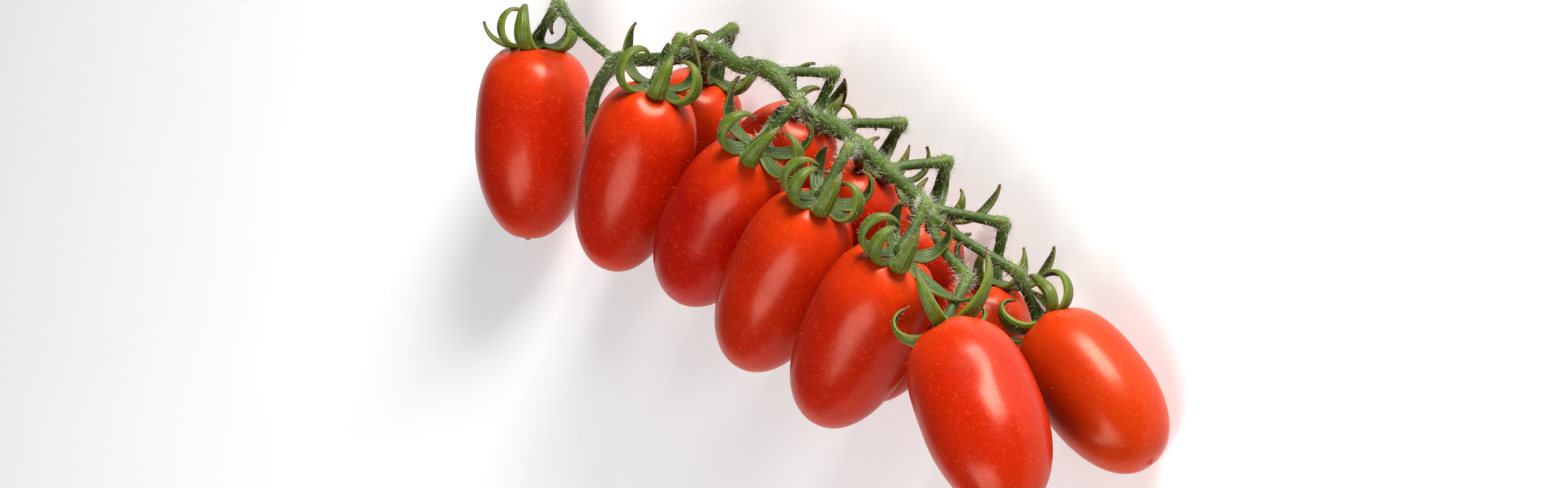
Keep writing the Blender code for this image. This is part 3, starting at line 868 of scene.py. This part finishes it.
def sepal_shell(sepal, seat, seed):
    """Points, faces, face sides and attributes of one sepal, in the fruit's frame."""
    share, line, heading = sepal_centreline(sepal, seat)
    half = sepal_half_width(share, sepal.width)
    spread = np.linspace(-1, 1, SEPAL_ACROSS + 1)
    section = np.concatenate([spread, spread[-2:0:-1]])
    face_side = np.concatenate([np.ones(SEPAL_ACROSS + 1), -np.ones(SEPAL_ACROSS - 1)])
    rounded = np.sqrt(1 - SEPAL_FULLNESS * section ** 2)[None, :]
    thick = SEPAL_THICKNESS * (1 - SEPAL_THINNING * share)[:, None] * rounded
    offset = face_side * (thick + SEPAL_EDGE) / 2
    keel = (face_side < 0) * -SEPAL_KEEL * bell(section, SEPAL_KEEL_WIDTH) * (1 - share[:, None])
    wave = SEPAL_WAVE * np.sin(SEPAL_WAVES * share + seed)[:, None]
    wave = wave * section ** 2 * np.sign(section)
    cup = SEPAL_CUP * half[:, None] * section ** 2 * (SEPAL_CUP_AT_ROOT + share[:, None])
    normal_amount = offset + keel + cup + wave
    out = line[:, 0:1] - np.sin(heading)[:, None] * normal_amount
    up = line[:, 2:3] + np.cos(heading)[:, None] * normal_amount
    side = line[:, 1:2] + half[:, None] * section * (1 - SEPAL_ROUNDING * section ** 2)
    turn = math.radians(sepal.angle)
    points = np.stack([out * math.cos(turn) - side * math.sin(turn),
                       out * math.sin(turn) + side * math.cos(turn), up], 2)
    around = len(section)
    faces = [tuple(reversed(face)) for face in grid_faces(len(share), around)]
    outer = [index % around >= SEPAL_ACROSS for index in range(len(faces))]
    last = (len(share) - 1) * around
    faces += [tuple(range(around)), tuple(reversed(range(last, last + around)))]
    outer += [False, True]
    across = np.broadcast_to(section, (len(share), around)).ravel()
    along = np.repeat(share, around)
    return points.reshape(-1, 3), faces, outer, across, along


def hub_shell(seat):
    """The low green dome where the sepals meet."""
    points = []
    for across, up in HUB_PROFILE:
        for side in range(HUB_SIDES):
            turn = math.tau * side / HUB_SIDES
            radius = HUB_RADIUS * across * (1 + HUB_LOBES * math.cos(5 * turn))
            points.append((radius * math.cos(turn), radius * math.sin(turn), seat + HUB_RISE * up))
    faces = grid_faces(len(HUB_PROFILE), HUB_SIDES)
    faces.append(tuple(reversed(range(HUB_SIDES))))
    faces.append(tuple(range(len(points) - HUB_SIDES, len(points))))
    return np.array(points), faces


def make_calyx(number, place, outer_green, inner_green):
    points, faces = hub_shell(place.seat)
    points = [points]
    outer_faces = [False] * len(faces)
    across = [np.zeros(len(points[0]))]
    along = [np.zeros(len(points[0]))]
    for index, sepal in enumerate(SEPALS[number]):
        base = sum(len(p) for p in points)
        shell = sepal_shell(sepal, place.seat, 3 * int(number) + index)
        points.append(shell[0])
        faces += [tuple(i + base for i in face) for face in shell[1]]
        outer_faces += shell[2]
        across.append(shell[3])
        along.append(shell[4])
    name = "calyx_look_" + number
    obj = make_mesh_object(name, np.vstack(points), faces, [inner_green, outer_green])
    obj.data.polygons.foreach_set("material_index", np.array(outer_faces, np.int32))
    set_attribute(obj.data, "across", np.concatenate(across))
    set_attribute(obj.data, "along", np.concatenate(along))
    obj.data.transform(place.matrix)
    finish_piece(obj, "sepal_green", "calyx_" + number)
    return obj


# ---------------------------------------------------------------- hairs

def hair_mesh(roots, directions, lengths, bends):
    """Thin bent cones of three sides, one at each root."""
    levels = np.array(HAIR_LEVELS)
    widths = np.array(HAIR_WIDTHS) * HAIR_RADIUS
    helper = np.where(np.abs(directions[:, 2:3]) < 0.9, [[0, 0, 1.0]], [[1.0, 0, 0]])
    first = np.cross(directions, helper)
    first /= np.linalg.norm(first, axis=1)[:, None]
    second = np.cross(directions, first)
    points = []
    for level, width in zip(levels, widths):
        centre = roots + directions * (lengths * level)[:, None]
        centre = centre + bends * (lengths * level ** 2)[:, None]
        for corner in range(3):
            turn = math.tau * corner / 3
            points.append(centre + (first * math.cos(turn) + second * math.sin(turn)) * width)
    points = np.stack(points, 1)
    pattern = [tuple(face) for face in grid_faces(3, 3)] + [(2, 1, 0), (6, 7, 8)]
    faces = [tuple(i + 9 * hair for i in face) for hair in range(len(roots)) for face in pattern]
    return points.reshape(-1, 3), faces


def grow_hairs(name, meshes, count, lengths, material, slot, weights, seed):
    """Hairs on the surface of some meshes, more of them where the weights are higher."""
    dice = np.random.default_rng(seed)
    points = np.vstack([mesh_points(m) for m in meshes])
    normals = np.vstack([mesh_normals(m) for m in meshes])
    chance = np.ones(len(points)) if weights is None else weights
    chosen = dice.choice(len(points), size=count, replace=False, p=chance / chance.sum())
    lean = dice.normal(0, HAIR_LEAN, (count, 3))
    directions = normals[chosen] + lean
    directions /= np.linalg.norm(directions, axis=1)[:, None]
    long = dice.uniform(*lengths, count)
    bends = dice.normal(0, HAIR_BEND, (count, 3)) - np.array((0, 0, HAIR_DROOP))
    obj = make_mesh_object(name, *hair_mesh(points[chosen], directions, long, bends), [material])
    finish_piece(obj, slot)


# ---------------------------------------------------------------- studio

def add_softbox(name, direction, distance, size, power):
    """An oblong area light that faces the middle of the truss."""
    towards = view_direction(*direction)
    light = bpy.data.lights.new(name, "AREA")
    light.shape = "RECTANGLE"
    light.size, light.size_y = size
    light.energy = power
    obj = bpy.data.objects.new(name, light)
    obj.location = CAMERA_AIM + towards.normalized() * distance
    obj.rotation_mode = "QUATERNION"
    obj.rotation_quaternion = towards.to_track_quat("Z", "Y")
    bpy.context.scene.collection.objects.link(obj)


def view_direction(right, up, back):
    return CAMERA_RIGHT * right + CAMERA_UP * up + CAMERA_BACK * back


def make_studio():
    reach = FLOOR_REACH
    corners = [(-reach, -reach, 0), (reach, -reach, 0), (reach, reach, 0), (-reach, reach, 0)]
    floor = make_mesh_object("floor", corners, [(0, 1, 2, 3)], [floor_material()])
    floor.location.z = cad_low.z - FLOOR_DROP
    add_softbox("key_light", *KEY_LIGHT)
    add_softbox("fill_light", *FILL_LIGHT)
    world = bpy.data.worlds.new("studio")
    world.use_nodes = True
    background = world.node_tree.nodes["Background"]
    background.inputs["Color"].default_value = (1, 1, 1, 1)
    background.inputs["Strength"].default_value = WORLD_STRENGTH
    bpy.context.scene.world = world
    bpy.context.scene.view_settings.view_transform = "Standard"
    bpy.context.scene.view_settings.look = "Medium High Contrast"


def make_camera():
    camera = bpy.data.cameras.new("camera")
    camera.lens = LENS
    camera.sensor_width = SENSOR
    camera.clip_start = 0.05
    camera.clip_end = 20
    obj = bpy.data.objects.new("camera", camera)
    matrix = Matrix((CAMERA_RIGHT, CAMERA_UP, CAMERA_BACK)).transposed().to_4x4()
    matrix.translation = CAMERA_AIM + CAMERA_BACK * CAMERA_DISTANCE
    obj.matrix_world = matrix
    bpy.context.scene.collection.objects.link(obj)
    bpy.context.scene.camera = obj


# ---------------------------------------------------------------- the truss

def build():
    skin = skin_material()
    green = stem_material()
    outer = sepal_material("sepal_outer", (0.145, 0.200, 0.009), (0.030, 0.062, 0.003),
                           (0.26, 0.30, 0.035), 0.18)
    inner = sepal_material("sepal_inner", (0.085, 0.130, 0.018), (0.026, 0.050, 0.006),
                           (0.17, 0.22, 0.05), 0.2)
    hair = hair_material("hair_pale", (0.80, 0.80, 0.68), (0.50, 0.52, 0.36))
    skin_hair = hair_material("hair_red", (0.85, 0.40, 0.28), (0.70, 0.22, 0.12))
    places = {n: fruit_place(n) for n in NUMBERS}
    fruits = [make_fruit(n, places[n], skin) for n in NUMBERS]
    stems, joint = make_stems(places, green)
    calyxes = [make_calyx(n, places[n], outer, inner) for n in NUMBERS]
    grow_hairs("stem_hairs", [stems.data], STEM_HAIRS, STEM_HAIR_LENGTHS, hair,
               "stem_green", HAIRS_OFF_JOINTS + joint, STEM_SEED)
    grow_hairs("sepal_hairs", [c.data for c in calyxes], SEPAL_HAIRS * len(NUMBERS),
               SEPAL_HAIR_LENGTHS, hair, "sepal_green", None, SEPAL_SEED)
    heights = np.concatenate([mesh_points(f.data)[:, 2] for f in fruits])
    grow_hairs("skin_hairs", [f.data for f in fruits], SKIN_HAIRS * len(NUMBERS),
               SKIN_HAIR_LENGTHS, skin_hair, "tomato_skin", (heights > BARE_HEIGHT) * 1.0,
               SKIN_SEED)


build()
make_studio()
make_camera()
